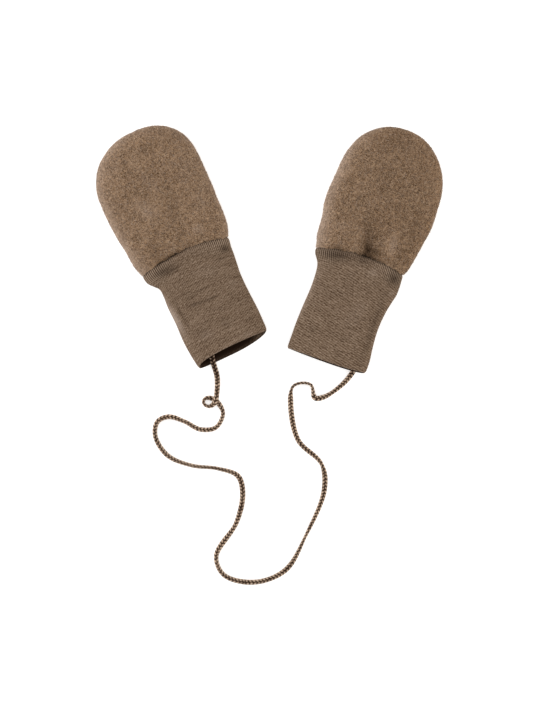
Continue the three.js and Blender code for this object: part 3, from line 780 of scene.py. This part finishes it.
RIGHT["knit_marks"] = np.array([
    (-17, -1.2, 13, 2.6, 5, -0.6), (1, 1.5, 5, 1, 5, -0.32), (24.2, -3, 4.6, 2.6, 6, -0.62),
    (21.6, -36, 0.3, -26, 3, -0.28), (25.7, -12.9, 2, 2, 2, 0.16), (-15.4, -52.8, 4, 1.5, 4, -0.16),
    (6.3, -50.7, 5, 1.5, 3, -0.14), (-9.7, -25.5, 6, 2, 5, -0.12), (9.4, -4, 4.4, 1.5, 4, 0.12),
    (-26, -34, 2, 24, 3, 0.16), (8, -34, 4, 10, 6, 0.06),
])
knit_wool = dict(
    dark=srgb(55, 38, 24), middle=srgb(105, 86, 69), light=srgb(158, 138, 119), pale_and_highlight=srgb(172, 156, 143),
    fibre=1.0, tuft=0.45, cloud=0.07, contrast=0.7, bump=(0.6, 0.22),
)
# The slanted lines' waves a column and a row, and how much they, the streaks and the grain show.
stitch_size = (COLUMN_WIDTH, ROW_HEIGHT, 1.0)
LEFT["knit"] = wool("left_cuff_knit", **knit_wool, curl=0.2, knit=dict(
    stitch=stitch_size, lean=0.43, lines=0.6, line_depth=0.28,
    streak=(0.07, 0.74, 1.0), streak_depth=0.52, grain_turn=0.0, grain=(0.6, 1.7, 1.0)))
RIGHT["knit"] = wool("right_cuff_knit", **knit_wool, curl=0.8, knit=dict(
    stitch=stitch_size, lean=-0.2, lines=0.576, line_depth=0.38,
    streak=(0.09, 0.8, 1.0), streak_depth=0.36, grain_turn=0.2, grain=(0.6, 1.4, 1.0)))


def cuff(mitten):
    """The doubled tube: outer rings from wrist to hem, half rounds over the fold, inner rings back.
    A ring is a flattened round: level on top, flat below. Each column is a ridge, the absolute sine
    of its count round the tube, higher near the wrist seam. At the seam the edge dips under the fleece.
    The angles are spaced so that all columns are equally wide at the wrist. The mouth's end line is drawn
    in or out by a power of the sine. Shade is the marks less a painted shadow, a bell at the wrist seam;
    over the hem it falls to painted shade, and it stays painted dark inside, but for a bell of painted
    daylight on the lower layer, widest at the right."""
    columns, steps_each, outer_rows, fold_rows, inner_rows = 98, 5, 84, 6, 24
    around = columns * steps_each
    fine = np.linspace(0, 2 * math.pi, 4001)
    wrist_half, wrist_crown = mitten["cuff"][0, 1:3].mean(), mitten["cuff"][0, 3]
    height = np.where(np.sin(fine) > 0, wrist_crown - SIDE_SEAM_HEIGHT, 0) * crown_share(np.cos(fine))
    run = np.hypot(np.diff(wrist_half * np.cos(fine)), np.diff(height))
    angle = np.interp(np.linspace(0, run.sum(), around + 1), np.concatenate([[0], np.cumsum(run)]), fine)
    c, s = np.cos(angle)[None, :], np.sin(angle)[None, :]
    count = math.pi * np.arange(around + 1) / steps_each
    crevice = crevice_depth(mitten, c) * (s > 0)

    def ring(share, inset, past, ribbed):
        share, inset, past = (np.asarray(a, float)[:, None] for a in (share, inset, past))
        at = CUFF_LENGTH * share
        table, mouth = mitten["cuff"], mitten["mouth"]
        half = np.where(c < 0, between(table, 1, at), between(table, 2, at)) - inset
        face = np.where(s > 0, mouth["top"], mouth["under"])
        end = np.where(c < 0, mouth["left"], mouth["right"])
        near_end = np.clip((at - CUFF_LENGTH + CORNER) / CORNER, 0, 1)
        half = half - CORNER * 0.7 * (1 - np.sqrt(1 - near_end**2 * 0.98)) * (past == 0)
        half = half - CORNER * 0.7 * (past > 0)
        x = c * half
        right_power = np.where(s > 0, 2.0, mouth["under_power"])
        spread_open = np.abs(s) ** np.where(c < 0, mouth["left_power"], right_power)
        mouth_shape = (face * spread_open + end * (1 - spread_open)) * share**MOUTH_POWER
        y = -SEAM_GAP / 2 - at - past + bow(mitten, c, at) + mouth_shape
        crown = between(table, 3, at) - inset - fold_depth(mitten["folds"], x, y)
        top = SIDE_SEAM_HEIGHT + (crown - SIDE_SEAM_HEIGHT) * crown_share(c)
        under = inset + (SIDE_SEAM_HEIGHT - inset) * (1 - np.minimum(1, FLAT_GAIN * crown_share(c)))
        shape = np.stack(np.broadcast_arrays(x, y, np.where(s > 0, top, under)), -1).astype(float)
        if ribbed:
            rib = np.abs(np.sin(count))[None, :] - 0.6
            high = np.where(s > 0, 1.0, 0.35) * (0.10 + 0.3 * np.exp(-((at / 5) ** 2)))
            sideways, upwards = c * np.abs(c) ** 5, np.sign(s) * (1 - np.abs(c) ** 6)
            out = np.stack([sideways, 0 * c, upwards], -1)
            shape += out * (rib * high)[..., None]
            dip = np.clip(1 - at / 1.6, 0, 1) ** 2 * (mitten["dip"] + 1.0 * crevice)
            shape[..., 2] -= np.where(s > 0, dip, 0) * np.clip(crown_share(c) * 1.6, 0, 1)
            shape[..., 0] -= c * np.clip(1 - at / 1.6, 0, 1) ** 2 * 0.5 * np.abs(c) ** 4
            shape[..., 2] = np.maximum(shape[..., 2], 0.02)
        return shape

    steps = np.linspace(0, 1, outer_rows) ** 1.25
    turn = np.linspace(0, math.pi / 2, fold_rows + 1)[1:]
    half = HEM_WALL / 2
    outer = ring(steps, 0 * steps, 0 * steps, True)
    fold_out = ring(1 + 0 * turn, half * (1 - np.cos(turn)), half * np.sin(turn), False)
    fold_in = ring(1 + 0 * turn, half * (1 + np.cos(turn)), half * np.sin(turn), False)[::-1][1:]
    back = 1 - np.linspace(0, 1, inner_rows) ** 1.6
    inner = ring(back, CUFF_WALL - (CUFF_WALL - HEM_WALL) * back**4, 0 * back, False)
    grid = np.concatenate([outer, fold_out, fold_in, inner, outer[:1]])
    rows = len(grid)
    faces = grid_faces(rows, around + 1)
    run = np.linalg.norm(np.diff(grid[:, around // 4], axis=0), axis=1)
    length = np.concatenate([[0], np.cumsum(run)]) / ROW_HEIGHT
    u = np.broadcast_to(np.arange(around + 1) / steps_each, (rows, around + 1))
    v = np.broadcast_to(-length[:, None], (rows, around + 1))
    at = CUFF_LENGTH * steps[:, None]
    shade = np.zeros((rows, around + 1))
    shade[:outer_rows] = fold_depth(mitten["knit_marks"], outer[..., 0], outer[..., 1]) * (s > 0)
    reach = 1.3 + 0.6 * lumps(outer[..., 0], outer[..., 1], 2.2, 6)
    # Painted shadow along the wrist seam, darkest in the crevice.
    shade[:outer_rows] -= (0.08 + 0.55 * crevice) * np.exp(-((at / reach) ** 2))
    hem = slice(outer_rows, outer_rows + 2 * fold_rows - 1)
    over_hem = np.arange(2 * fold_rows - 1)
    # The hem's fold is a little lighter outside, then painted shade falls over it; the inside is painted
    # dark but for a bell of painted daylight on the lower layer near the mouth.
    shade[hem] = np.interp(over_hem, (0, 4, 6, 9), (0.1, 0.0, -0.6, -1.0))[:, None]
    inward = CUFF_LENGTH * (1 - back[:, None])
    lit = np.clip((c - 0.5) / 0.35, 0, 1)
    daylight = (0.2 + 0.5 * lit) * np.exp(-((inward / (1.1 + 2.2 * lit)) ** 2))
    shade[hem.stop:-1] = -1 + np.where(s > 0, 0.0, daylight)
    # How strongly the ribs' painted shade and highlight show: most next to the wrist seam, more at its
    # corners.
    rib_shade_and_highlight = np.zeros((rows, around + 1))
    corner = np.clip((np.abs(c) - 0.25) / 0.4, 0, 1)
    rib_shade_and_highlight[:outer_rows] = np.exp(-((at / (3.0 + 4.2 * corner)) ** 2)) * (0.35 + 0.65 * corner)
    rib_shade_and_highlight = np.clip(rib_shade_and_highlight * (1 + 0.35 * lumps(c * 30, 0 * c, 5, 9)), 0, 1)
    name = f"{mitten['name']}_cuff"
    points = laid(mitten, grid.reshape(-1, 3))
    piece = mesh_object(f"{name}_knit", points, faces[:, ::-1], mitten["knit"], merge=1e-4,
                        uvs=np.stack([u, v], -1), shade=shade, open=rib_shade_and_highlight)
    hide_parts(name)
    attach(piece, "root")


for mitten in (LEFT, RIGHT):
    cuff(mitten)
